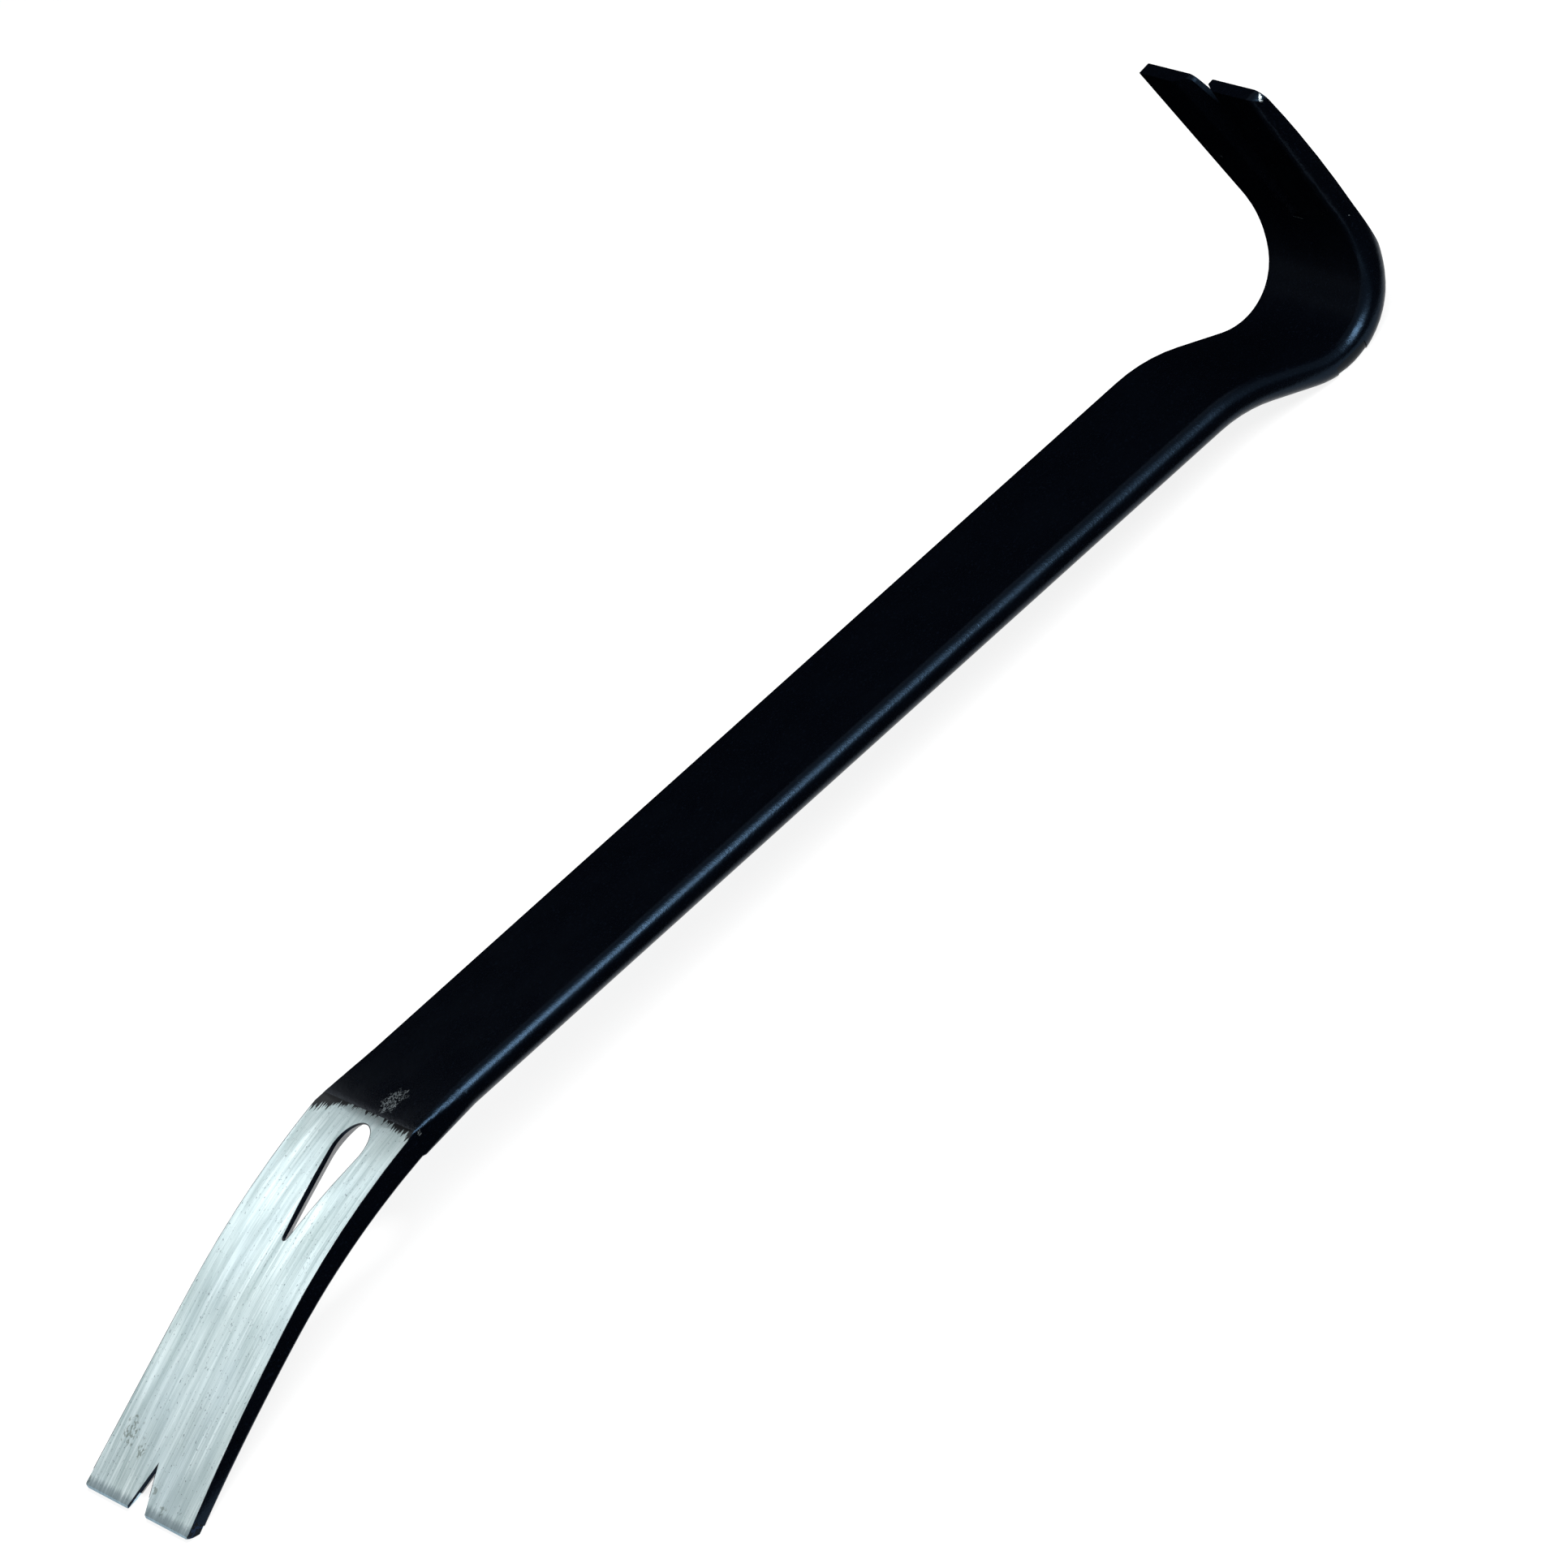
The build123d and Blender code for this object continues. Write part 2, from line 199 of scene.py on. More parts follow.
def new_group(name, inputs, output):
    """A node group with named inputs and one named number as its output."""
    tree = bpy.data.node_groups.new(name, "ShaderNodeTree")
    for label, value in inputs.items():
        kind = "NodeSocketVector" if isinstance(value, tuple) else "NodeSocketFloat"
        socket = tree.interface.new_socket(label, in_out="INPUT", socket_type=kind)
        socket.default_value = value
    tree.interface.new_socket(output, in_out="OUTPUT", socket_type="NodeSocketFloat")
    start = tree.nodes.new("NodeGroupInput")
    end = tree.nodes.new("NodeGroupOutput")
    print("group", name, "reads", ", ".join(inputs), "and gives", output)
    return Graph(tree), start.outputs, end.inputs[0]


# %% [markdown]
# ## Four effects, each built once
#
# Steel and paint look unlike each other, but many marks on them are of the same kinds. Clouds are
# broad, soft changes of tone. Specks are tiny pits or bits of dust. Worn patches have a middle, a
# size and a ragged rim. Both finishes use these three. Belt lines run along the bar, and the steel
# uses them at five sizes. Each effect could be drawn anew wherever it is needed, but as a group it
# is built once, and each use gives it its own sizes. All of them read the place on the bar in
# metres, so a line that is given as a quarter of a millimetre wide is that wide on the real tool.

# %% Belt lines
LINE_DETAIL = 1.5
LINE_TONES = (0.25, 0.75)


def make_belt_lines():
    graph, given, result = new_group(
        "belt_lines",
        {"Place": (0.0, 0.0, 0.0), "Line Width": 0.0003, "Line Length": 0.02},
        "Lines",
    )
    across = graph.math("DIVIDE", 1.0, given["Line Width"])
    along = graph.math("DIVIDE", 1.0, given["Line Length"])
    stretched = graph.vector("MULTIPLY", given["Place"], graph.join(along, across, along))
    graph.feed(result, graph.remap(graph.noise(stretched, 1.0, LINE_DETAIL), *LINE_TONES))
    return graph.tree


belt_lines = make_belt_lines()

# %% Clouds
CLOUD_TONES = (0.3, 0.7)


def make_clouds():
    graph, given, result = new_group(
        "clouds", {"Place": (0.0, 0.0, 0.0), "Size": 0.01, "Detail": 2.0}, "Clouds"
    )
    scale = graph.math("DIVIDE", 1.0, given["Size"])
    soft = graph.noise(given["Place"], scale, given["Detail"])
    graph.feed(result, graph.remap(soft, *CLOUD_TONES))
    return graph.tree


clouds = make_clouds()

# %% Specks
SPECK_DETAIL = 1.0
NO_SPECKS = 0.72
ALL_SPECKS = 0.32
SPECK_RIM = 0.03


def make_specks():
    graph, given, result = new_group(
        "specks", {"Place": (0.0, 0.0, 0.0), "Size": 0.0004, "Share": 0.1}, "Specks"
    )
    scale = graph.math("DIVIDE", 1.0, given["Size"])
    grit = graph.noise(given["Place"], scale, SPECK_DETAIL)
    less = graph.math("MULTIPLY", given["Share"], NO_SPECKS - ALL_SPECKS)
    edge = graph.math("SUBTRACT", NO_SPECKS, less)
    graph.feed(result, graph.remap(graph.math("SUBTRACT", grit, edge), 0.0, SPECK_RIM))
    return graph.tree


specks = make_specks()

# %% Worn patches
PATCH_DETAIL = 3.0
PATCH_CORE = 0.75


def make_worn_patch():
    graph, given, result = new_group(
        "worn_patch",
        {
            "Place": (0.0, 0.0, 0.0),
            "Middle": (0.0, 0.0, 0.0),
            "Radius": 0.002,
            "Raggedness": 0.002,
            "Grain": 0.0008,
        },
        "Worn",
    )
    reach = graph.vector("DISTANCE", given["Place"], given["Middle"], "Value")
    scale = graph.math("DIVIDE", 1.0, given["Grain"])
    wander = graph.noise(given["Place"], scale, PATCH_DETAIL)
    reach = graph.sway(reach, wander, given["Raggedness"])
    core = graph.math("MULTIPLY", given["Radius"], PATCH_CORE)
    graph.feed(result, graph.remap(reach, given["Radius"], core))
    return graph.tree


worn_patch = make_worn_patch()

# %% [markdown]
# ## Starting a finish
#
# Both finishes begin with one Principled shader that reads the place on the bar. Numbers that are
# the same all over the surface are typed straight into the shader's own inputs. Both end with a
# bump that lifts their finest marks, which are far too shallow to be modelled.

# %% New finish


def new_finish(name, **numbers):
    """A material with a Principled shader, its graph, and the place on the bar."""
    material = bpy.data.materials.new(name)
    material.use_nodes = True
    graph = Graph(material.node_tree)
    shader = material.node_tree.nodes["Principled BSDF"]
    for label, value in numbers.items():
        shader.inputs[label.replace("_", " ")].default_value = value
    place = graph.add("ShaderNodeTexCoord").outputs["Object"]
    print("finish", name, "is started")
    return material, graph, shader, place


def raise_marks(graph, shader, height, strength, depth):
    """Make the light fall as if the marks stood up by this depth."""
    bump = graph.add("ShaderNodeBump")
    bump.inputs["Strength"].default_value = strength
    bump.inputs["Distance"].default_value = depth
    graph.feed(bump.inputs["Height"], height)
    graph.feed(shader.inputs["Normal"], bump.outputs[0])


def patches(graph, place, spots, grain):
    """The worst wear at each place, from spots of (x, y, z, radius, raggedness)."""
    worn = 0.0
    for x, y, z, radius, raggedness in spots:
        spot = graph.group(worn_patch, place=place, middle=(x, y, z), radius=radius,
                           raggedness=raggedness, grain=grain)
        worn = graph.clamped("MAXIMUM", worn, spot)
    return worn


# %% [markdown]
# ## The line where the grinding stops
#
# A belt can't stop dead. It lifts off over a curved heel of paint, so the bright face ends in an
# arch, and every grit of the belt leaves its own short streak past the arch. The arch is two halves
# of a parabola, steeper on the far side. The streaks are belt lines that push the arch to and fro.
# The line could be modelled as an edge, but it is far too ragged, so it is a mask in the finish.

# %% Paint past the arch
ARCH_CREST = blade_tip + 0.0946
ARCH_MIDDLE = 0.0015
ARCH_FAR_BOW = 11.7
ARCH_NEAR_BOW = 4.3
ARCH_FADE = (-0.0001, 0.0002)
STREAKS = {"line_width": 0.00055, "line_length": 0.012}
STREAK_REACH = 0.0026
TATTERS = {"line_width": 0.0019, "line_length": 0.008}
TATTER_REACH = 0.00156
PAINT_END = ARCH_CREST + 0.03


def paint_past_arch(graph, place):
    """1 from the ragged arch to the end of the blade's steel."""
    x, y, _ = graph.split(place)
    off = graph.math("SUBTRACT", y, ARCH_MIDDLE)
    far = graph.math("POWER", graph.math("MAXIMUM", off, 0.0), 2.0)
    near = graph.math("POWER", graph.math("ABSOLUTE", graph.math("MINIMUM", off, 0.0)), 2.0)
    bow = graph.weigh(far, ARCH_FAR_BOW, near, ARCH_NEAR_BOW)
    past = graph.math("ADD", graph.math("SUBTRACT", x, ARCH_CREST), bow)
    past = graph.sway(past, graph.group(belt_lines, place=place, **STREAKS), STREAK_REACH)
    past = graph.sway(past, graph.group(belt_lines, place=place, **TATTERS), TATTER_REACH)
    arch = graph.remap(past, *ARCH_FADE)
    return graph.math("MULTIPLY", arch, graph.math("LESS_THAN", x, PAINT_END))


print("the paint arch crests", round(ARCH_CREST - blade_tip, 4), "m from the blade's tip")

# %% [markdown]
# ## Paint on the flanks
#
# The belt runs flat, so the blade's thin sides keep their paint. How far a face turns sideways
# says whether the belt reached it, so the mask needs no line drawn along the edge. The bar also
# rocks on its heel, and the coat there is worn through to steel. That steel is bright underneath,
# but it is black again round its edges.

# %% Paint on the flanks
FLANK_TURN = 0.72
HEEL_TURN = 0.25
FLANK_FADE = 0.05
FLANK_GRIT = {"size": 0.0006, "detail": 2.0}
FLANK_SWAY = 0.3


def paint_on_flanks(graph, place):
    """1 where the steel turns sideways. Under the heel, a slight turn is enough."""
    normal = graph.add("ShaderNodeTexCoord").outputs["Normal"]
    sideways = graph.math("ABSOLUTE", graph.split(normal)[1])
    sideways = graph.sway(sideways, graph.group(clouds, place=place, **FLANK_GRIT), FLANK_SWAY)
    heel = graph.math("GREATER_THAN", graph.split(place)[0], PAINT_END)
    sideways = graph.math("MULTIPLY_ADD", heel, FLANK_TURN - HEEL_TURN, sideways)
    return graph.remap(sideways, FLANK_TURN - FLANK_FADE, FLANK_TURN)


print("paint covers what turns past", round(math.degrees(math.asin(FLANK_TURN))), "degrees")

# %% [markdown]
# ## Ground steel
#
# Belt-ground spring steel is bright but never a mirror. Fine and coarse lines run along the blade,
# wider and shorter ones lie over them in patches, and clouds of a cooler grey lie under them all.
# There are a few pits, and old stains that have broken up into specks. The last millimetres of the
# blade are bevelled, and painted shade greys them. A cool grey metal with changing roughness gives
# the body of it, and a bump from the lines makes them catch the light.

# %% Steel colours
STEEL_BRIGHT = (0.86, 0.94, 0.91, 1)
STEEL_SHADED = (0.53, 0.64, 0.61, 1)
STEEL_COOL = (0.59, 0.70, 0.71, 1)
STEEL_PIT = (0.16, 0.19, 0.20, 1)
STAIN = (0.30, 0.33, 0.24, 1)
# Colour of the painted shade that greys the bevel at the blade's edge.
BEVEL_PAINTED_SHADE = (0.22, 0.27, 0.28, 1)
PAINT_BLACK = (0.0006, 0.0009, 0.0020, 1)
# A painted bluish sheen, specked on the black flanks of the blade near its tip.
PAINTED_FLANK_SHEEN = (0.020, 0.045, 0.110, 1)
COLD_GLINT = (0.6, 0.8, 1.0, 1)
print("steel runs from", STEEL_SHADED[:3], "to", STEEL_BRIGHT[:3])

# %% Steel marks
FINE_LINES = {"line_width": 0.00032, "line_length": 0.018}
COARSE_LINES = {"line_width": 0.0010, "line_length": 0.045}
PATCHY_LINES = {"line_width": 0.0034, "line_length": 0.016}
PATCHY_SHARE = 0.28
LINE_CONTRAST = (0.22, 0.78)
COOL_CLOUDS = {"size": 0.016, "detail": 3.0}
COOL_SHARE = 0.5
PITS = {"size": 0.0006, "share": 0.05}
PIT_SHARE = 0.6
PIT_DEPTH = 0.8
STAIN_SPECKS = {"size": 0.0009, "share": 0.55}
STAIN_GRAIN = 0.0011
STAIN_SHARE = 0.40
STAINS = [
    (blade_tip + 0.0139, 0.0174, 0.0072, 0.0032, 0.009),
    (blade_tip + 0.0113, 0.0093, 0.0062, 0.0018, 0.007),
    (blade_tip + 0.0057, -0.0040, 0.0043, 0.0012, 0.005),
    (blade_tip + 0.0030, -0.0105, 0.0030, 0.0012, 0.006),
    (blade_tip + 0.0012, 0.0252, 0.0022, 0.0012, 0.002),
]
print(len(STAINS), "stains near the blade's edge")

# %% [markdown]
# ## The steel's edges
#
# Two parts of the steel get their own functions, to keep the sum of it short: painted shade on the
# bevel at the blade's edge, which starts with a quick step and deepens to the very edge, and the
# black paint left on the flanks, with a painted bluish sheen specked on it near the tip.

# %% Bevel painted shade and flank painted sheen
# Where the painted shade on the bevel starts, and how deep it goes.
BEVEL_START = blade_tip + 0.0026
BEVEL_FADE = 0.0012
BEVEL_WAVE = 0.0010
BEVEL_SHADE_STEP = 0.5
BEVEL_SHADE_SLOPE = 0.35
# Where the painted sheen lies on the flanks, and how thickly it is specked.
PAINTED_SHEEN_SPECKS = {"size": 0.0007, "share": 0.5}
PAINTED_SHEEN_START = blade_tip + 0.060
PAINTED_SHEEN_FULL = blade_tip + 0.030


def bevel_painted_shade(graph, along, coarse):
    """Painted shade on the blade: a quick step at the bevel, then a slope to the very edge."""
    wavy = graph.sway(along, coarse, BEVEL_WAVE)
    step = graph.remap(wavy, BEVEL_START, BEVEL_START - BEVEL_FADE, 0.0, BEVEL_SHADE_STEP)
    return graph.math("ADD", step, graph.remap(wavy, BEVEL_START, blade_tip, 0.0, BEVEL_SHADE_SLOPE))


def flank_black_and_painted_sheen(graph, place, along):
    """The black paint of the flanks, specked with painted sheen towards the tip."""
    # Painted sheen: bluish specks put into the colour of the black flank.
    sheen = graph.group(specks, place=place, **PAINTED_SHEEN_SPECKS)
    sheen = graph.math("MULTIPLY", sheen, graph.remap(along, PAINTED_SHEEN_START, PAINTED_SHEEN_FULL))
    return graph.blend(sheen, PAINT_BLACK, PAINTED_FLANK_SHEEN)


# Painted shade on the bevel starts here.
print("the bevel starts", round(BEVEL_START - blade_tip, 4), "m from the blade's tip")

# %% Steel finish
STEEL_WORK = (0.4, 1.6)
STEEL_ROUGH = 0.42
STEEL_RUBBED = 0.30
STAIN_ROUGH = 0.15
PAINT_RISE = 2.0


def make_steel():
    material, graph, shader, place = new_finish(
        "ground_spring_steel", Specular_IOR_Level=0.2, Specular_Tint=COLD_GLINT
    )
    along = graph.split(place)[0]
    fine = graph.group(belt_lines, place=place, **FINE_LINES)
    coarse = graph.group(belt_lines, place=place, **COARSE_LINES)
    patchy = graph.group(belt_lines, place=place, **PATCHY_LINES)
    lines = graph.weigh(fine, 0.5, coarse, 0.5)
    tone = graph.weigh(lines, 1.0 - PATCHY_SHARE, patchy, PATCHY_SHARE)
    colour = graph.blend(graph.remap(tone, *LINE_CONTRAST), STEEL_SHADED, STEEL_BRIGHT)
    cool = graph.math("MULTIPLY", graph.group(clouds, place=place, **COOL_CLOUDS), COOL_SHARE)
    colour = graph.blend(cool, colour, STEEL_COOL)
    blotches = graph.group(specks, place=place, **STAIN_SPECKS)
    stained = graph.math("MULTIPLY", patches(graph, place, STAINS, STAIN_GRAIN), blotches)
    colour = graph.blend(graph.math("MULTIPLY", stained, STAIN_SHARE), colour, STAIN)
    pits = graph.group(specks, place=place, **PITS)
    colour = graph.blend(graph.math("MULTIPLY", pits, PIT_SHARE), colour, STEEL_PIT)
    # Painted shade: the steel's colour is greyed towards the blade's edge, where the rolled bevel
    # is in shade.
    colour = graph.blend(bevel_painted_shade(graph, along, coarse), colour, BEVEL_PAINTED_SHADE)

    painted = graph.clamped("MAXIMUM", paint_past_arch(graph, place),
                            paint_on_flanks(graph, place))
    # The flanks' black carries a painted sheen near the tip.
    colour = graph.blend(painted, colour, flank_black_and_painted_sheen(graph, place, along))
    graph.feed(shader.inputs["Base Color"], colour)
    graph.feed(shader.inputs["Metallic"], graph.math("SUBTRACT", 1.0, painted))
    rough = graph.remap(graph.math("ADD", lines, patchy), *STEEL_WORK, STEEL_ROUGH, STEEL_RUBBED)
    rough = graph.math("MULTIPLY_ADD", stained, STAIN_ROUGH, rough)
    graph.feed(shader.inputs["Roughness"], rough)

    height = graph.math("SUBTRACT", lines, graph.math("MULTIPLY", pits, PIT_DEPTH))
    height = graph.math("MULTIPLY_ADD", painted, PAINT_RISE, height)
    raise_marks(graph, shader, height, strength=0.6, depth=0.00003)
    return material


steel_finish = make_steel()
print("finish", steel_finish.name, "has", len(steel_finish.node_tree.nodes), "nodes")

# %% [markdown]
# ## Satin black paint
#
# The paint is almost pure black, so nearly all that can be seen of it is its gloss: a cool satin
# sheen, broken up by a fine orange peel and by dust under the film. It is worn to steel at the
# near corner of the claw, and it is scuffed next to the grinding. One spot at the knee and two on
# the claw's inner face are painted glints, drawn as bare steel. A chip is a ragged spot less than a
# millimetre wide, and three of them in a row make the long one at the corner.

# %% Paint marks
PAINT_DUSTY = (0.003, 0.005, 0.010, 1)
BARE_STEEL_AND_PAINTED_GLINT = (0.42, 0.48, 0.50, 1)
BLUE_GLINT = (0.34, 0.62, 1.0, 1)
CHIP_AND_GLINT_GRAIN = 0.0005
# The first three spots are chips at the near corner of the claw. The knee spot and the two on the
# claw's inner face are painted glints, drawn in bare-steel colour.
CHIPS_AND_PAINTED_GLINTS = [
    (hook_end - 0.0033, -0.0250, 0.0650, 0.0004, 0.0010),
    (hook_end - 0.0037, -0.0252, 0.0645, 0.0004, 0.0010),
    (hook_end - 0.0041, -0.0254, 0.0640, 0.0004, 0.0010),
    (hook_end - 0.0022, -0.0222, 0.0273, 0.0003, 0.0018),
    (hook_end - 0.0052, 0.0190, 0.0433, 0.0003, 0.0016),
    (hook_end - 0.0051, 0.0152, 0.0410, 0.0003, 0.0016),
]
SCUFF_GRAIN = 0.0014
SCUFF_SHARE = 0.35
SCUFFS = [
    (blade_tip + 0.0990, -0.0051, 0.0302, 0.0036, 0.0060),
    (blade_tip + 0.0955, -0.0222, 0.0292, 0.0007, 0.0020),
]
# The count printed as chips takes in the three painted glints.
print(len(CHIPS_AND_PAINTED_GLINTS), "chips by the hook and", len(SCUFFS), "scuffs by the arch")

# %% Paint finish
ORANGE_PEEL = {"size": 0.0007, "detail": 2.0}
FILM_GRIT = {"size": 0.00028, "detail": 1.0}
FORGED_FORM = {"size": 0.012, "detail": 2.0}
DUST = {"size": 0.0005, "share": 0.2}
SCRATCHES = {"size": 0.0004, "share": 0.5}
DUST_SHARE = 0.5
PEEL_SHARE = 0.6
CHIP_AND_GLINT_DEPTH = 2.0
PAINT_UNEVEN = (0.3, 1.7)
PAINT_SMOOTH = 0.25
PAINT_ROUGH = 0.35


def make_paint():
    material, graph, shader, place = new_finish(
        "satin_black_paint", Specular_IOR_Level=0.25, Specular_Tint=BLUE_GLINT
    )
    dust = graph.math("MULTIPLY", graph.group(specks, place=place, **DUST), DUST_SHARE)
    colour = graph.blend(dust, PAINT_BLACK, PAINT_DUSTY)
    scratches = graph.group(specks, place=place, **SCRATCHES)
    scuffed = graph.math("MULTIPLY", patches(graph, place, SCUFFS, SCUFF_GRAIN), scratches)
    chips_scuffs_and_painted_glints = graph.clamped("MAXIMUM", patches(graph, place, CHIPS_AND_PAINTED_GLINTS, CHIP_AND_GLINT_GRAIN),
                            graph.math("MULTIPLY", scuffed, SCUFF_SHARE))
    # Bare steel where the paint is worn through, and painted glints at the knee and on the claw's
    # inner face.
    graph.feed(shader.inputs["Base Color"], graph.blend(chips_scuffs_and_painted_glints, colour, BARE_STEEL_AND_PAINTED_GLINT))
    graph.feed(shader.inputs["Metallic"], chips_scuffs_and_painted_glints)

    peel = graph.group(clouds, place=place, **ORANGE_PEEL)
    grit = graph.group(clouds, place=place, **FILM_GRIT)
    forged = graph.group(clouds, place=place, **FORGED_FORM)
    rough = graph.remap(graph.math("ADD", forged, grit), *PAINT_UNEVEN, PAINT_SMOOTH, PAINT_ROUGH)
    graph.feed(shader.inputs["Roughness"], rough)
    height = graph.weigh(peel, PEEL_SHARE, grit, 1.0 - PEEL_SHARE)
    height = graph.math("MULTIPLY_ADD", chips_scuffs_and_painted_glints, -CHIP_AND_GLINT_DEPTH, height)
    raise_marks(graph, shader, height, strength=0.5, depth=0.00004)
    return material


paint_finish = make_paint()
print("finish", paint_finish.name, "has", len(paint_finish.node_tree.nodes), "nodes")

# %% [markdown]
# ## Dressing the bar
#
# A pry bar has nothing that moves, so both skins ride on its one body. Each takes its finish and
# stands for its exact node, which stays in the file unseen.

# %% Dress and attach


def dress(skin, finish, node):
    skin.data.materials.clear()
    skin.data.materials.append(finish)
    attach(skin, "root")
    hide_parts(node)
    print(skin.name, "stands for", node)


dress(ground_steel, steel_finish, "forged_bar")
dress(black_paint, paint_finish, "black_coat")

# %% [markdown]
# ## Floor
#
# The bar lies on a pale sweep. A plain sheet would do for one view, but its far edge would show
# as a horizon from low down, so this is a disc whose rim curls up. Its own colour is a mid grey,
# so that little light bounces up from it under the black bar. The camera and shiny surfaces see
# it lifted to white, and it still takes the bar's soft shadow.

# %% Sweep
FLOOR_RADIUS = 5.0
FLOOR_SIDES = 96
RIM_RADIUS = 1.2
RIM_STEPS = 8


def make_sweep():
    bpy.ops.object.select_all(action="DESELECT")
    bpy.ops.mesh.primitive_circle_add(vertices=FLOOR_SIDES, radius=FLOOR_RADIUS, fill_type="NGON")
    sweep = bpy.context.active_object
    sweep.name = "sweep"
    bpy.ops.object.mode_set(mode="EDIT")
    bpy.ops.mesh.select_all(action="SELECT")
    reach = FLOOR_RADIUS
    height = 0.0
    for step in range(1, RIM_STEPS + 1):
        turn = math.radians(90) * step / RIM_STEPS
        new_reach = FLOOR_RADIUS + RIM_RADIUS * math.sin(turn)
        new_height = RIM_RADIUS * (1 - math.cos(turn))
        bpy.ops.mesh.region_to_loop()
        bpy.ops.mesh.extrude_edges_move()
        bpy.ops.transform.resize(value=(new_reach / reach, new_reach / reach, 1))
        bpy.ops.transform.translate(value=(0, 0, new_height - height))
        reach = new_reach
        height = new_height
    bpy.ops.object.mode_set(mode="OBJECT")
    bpy.ops.object.shade_smooth()
    print("sweep is", round(2 * reach, 2), "m across, with a rim", round(height, 2), "m high")
    return sweep


sweep = make_sweep()

# %% Sweep finish
FLOOR_GREY = (0.26, 0.26, 0.26, 1)
FLOOR_GLOW = (1, 1, 1, 1)
FLOOR_LIFT = 0.86


def make_sweep_finish():
    material, graph, shader, _ = new_finish(
        "pale_sweep", Base_Color=FLOOR_GREY, Roughness=0.9, Specular_IOR_Level=0.0,
        Emission_Color=FLOOR_GLOW,
    )
    path = graph.add("ShaderNodeLightPath").outputs
    seen = graph.math("ADD", path["Is Camera Ray"], path["Is Glossy Ray"])
    seen = graph.clamped("ADD", seen, path["Is Transmission Ray"])
    graph.feed(shader.inputs["Emission Strength"], graph.math("MULTIPLY", seen, FLOOR_LIFT))
    return material


sweep.data.materials.append(make_sweep_finish())
print("the sweep glows by", FLOOR_LIFT, "for the camera and for shiny surfaces")

# %% [markdown]
# ## Studio lights
#
# Black gloss shows only what it mirrors, so a light stands where a part of the bar mirrors it. The
# tall front box runs a cool line down the near round edge of the shank, strongest at the blade and
# fading towards the hook. Two small boxes low behind the blade are what the ground steel mirrors:
# one lights all of it, and one adds a little about the nail slot. Seen from behind, the steel would
# mirror the strong front box too and be lost in white, so light linking keeps that box off it.

# %% Soft boxes


def soft_box(name, place, target, size, watts):
    """A lamp the shape of a soft box, aimed at a target, that the camera doesn't see."""
    data = bpy.data.lights.new(name, "AREA")
    data.shape = "RECTANGLE"
    data.size, data.size_y = size
    data.energy = watts
    lamp = bpy.data.objects.new(name, data)
    lamp.location = place
    lamp.rotation_euler = (Vector(target) - Vector(place)).to_track_quat("-Z", "Y").to_euler()
    lamp.visible_camera = False
    bpy.context.scene.collection.objects.link(lamp)
    print(name, "gives", watts, "W over", size)
    return lamp


front_box = soft_box("front_box", place=(0.11, -0.70, 0.79), target=(-0.06, 0.0, 0.0),
                     size=(0.24, 0.72), watts=16.0)
soft_box("blade_box", place=(-0.20, 0.56, 0.34), target=(-0.16, 0.0, 0.01),
         size=(0.30, 0.26), watts=0.27)
soft_box("slot_box", place=(-0.145, 0.56, 0.35), target=(-0.13, 0.0, 0.02),
         size=(0.12, 0.26), watts=0.070)

# %% Light linking


def keep_off(lamp, piece):
    """Let a lamp light everything but this piece."""
    left_out = bpy.data.collections.new("kept_off_" + lamp.name)
    left_out.objects.link(piece)
    left_out.collection_objects[0].light_linking.link_state = "EXCLUDE"
    lamp.light_linking.receiver_collection = left_out
    print(lamp.name, "doesn't light", piece.name)


keep_off(front_box, ground_steel)

# %% [markdown]
# ## Black cards
#
# Seen at a low angle, even black paint mirrors a white floor and turns grey. More black in the
# paint doesn't help, because the grey lies in its gloss. In a studio a black card is leaned beside
# such a thing, just out of view, and the gloss mirrors the card instead. One card leans behind the
# hook and one lies low in front. Only shiny surfaces see them, and they throw no shadow.

# %% Cards
CARD_BLACK = (0.0, 0.0, 0.0, 1)
card_finish = new_finish("card_black", Base_Color=CARD_BLACK, Roughness=1.0,
                         Specular_IOR_Level=0.0)[0]


def black_card(name, place, size, lean):
    """A black sheet beside the bar, leaning by an angle from flat."""
    bpy.ops.object.select_all(action="DESELECT")
    bpy.ops.mesh.primitive_plane_add(size=1.0, location=place, rotation=(lean, 0, 0))
    card = bpy.context.active_object
    card.name = name
    card.scale = (size[0], size[1], 1)
    bpy.ops.object.transform_apply(location=True, rotation=True, scale=True)
    card.visible_camera = False
    card.visible_diffuse = False
    card.visible_shadow = False
    card.visible_transmission = False
    card.data.materials.append(card_finish)
    print(name, "is", size, "m")


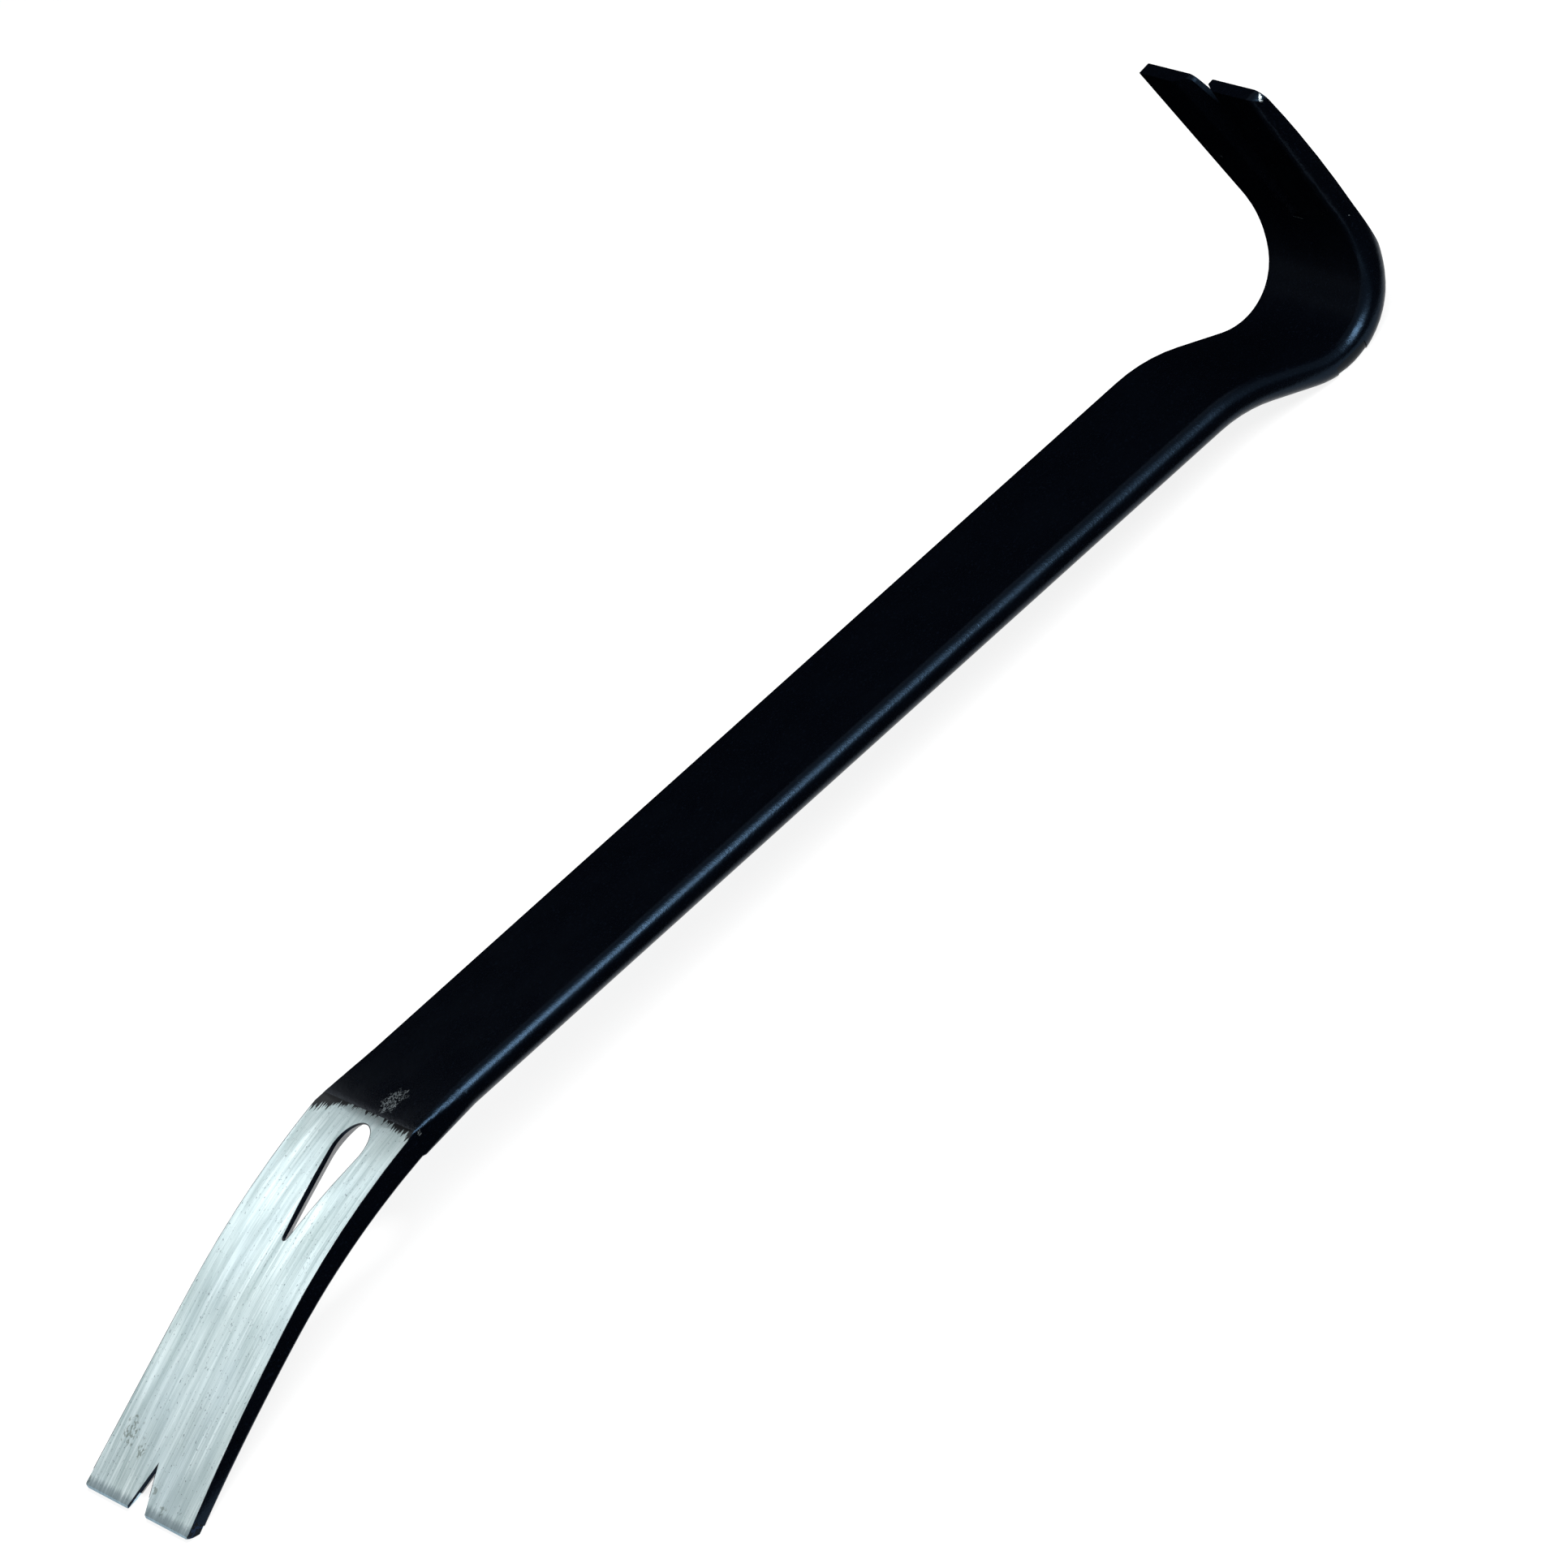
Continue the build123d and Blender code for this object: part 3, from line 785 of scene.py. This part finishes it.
black_card("back_card", place=(0.18, 0.158, 0.202), size=(0.54, 0.478), lean=math.radians(57))
black_card("front_card", place=(0.08, -0.164, 0.040), size=(0.90, 0.280), lean=math.radians(-16))

# %% [markdown]
# ## The room
#
# The room gives a weak, slightly cool light from all sides. It keeps the bar's underside and back
# from going quite dark, and it is low enough for the front box to draw its line.

# %% Room light
ROOM_COLOUR = (0.92, 0.96, 1.0, 1)
ROOM_STRENGTH = 0.28

world = bpy.data.worlds.new("studio")
world.use_nodes = True
bpy.context.scene.world = world
backdrop = world.node_tree.nodes["Background"]
backdrop.inputs["Color"].default_value = ROOM_COLOUR
backdrop.inputs["Strength"].default_value = ROOM_STRENGTH
print("the room shines at", ROOM_STRENGTH)

# %% [markdown]
# ## Camera
#
# A long lens from 2.7 metres keeps the bar's two edges nearly parallel, where a short one close by
# would swell the blade and shrink the hook. The camera stands a little to the left, looks down by
# somewhat more than a quarter of a right angle, and is rolled so that the bar climbs across the
# frame.

# %% Camera
CAMERA_PLACE = Vector((-0.6120, -2.3238, 1.2001))
CAMERA_AZIMUTH = math.radians(-15.168)
CAMERA_ELEVATION = math.radians(26.201)
CAMERA_ROLL = math.radians(-38.10)
LENS = 284.7
SENSOR = 36.0


def make_camera():
    data = bpy.data.cameras.new("camera")
    data.sensor_width = SENSOR
    data.lens = LENS
    data.clip_start = 0.1
    data.clip_end = 50.0
    camera = bpy.data.objects.new("camera", data)
    flat = math.cos(CAMERA_ELEVATION)
    look = Vector((-math.sin(CAMERA_AZIMUTH) * flat, math.cos(CAMERA_AZIMUTH) * flat,
                   -math.sin(CAMERA_ELEVATION)))
    roll = Quaternion((0, 0, 1), CAMERA_ROLL)
    camera.rotation_mode = "QUATERNION"
    camera.rotation_quaternion = look.to_track_quat("-Z", "Y") @ roll
    camera.location = CAMERA_PLACE
    bpy.context.scene.collection.objects.link(camera)
    return camera


bpy.context.scene.camera = make_camera()
bpy.context.scene.view_settings.view_transform = "Standard"
print("camera", [round(v, 3) for v in CAMERA_PLACE], "lens", LENS, "mm")

# %% [markdown]
# ## Closing
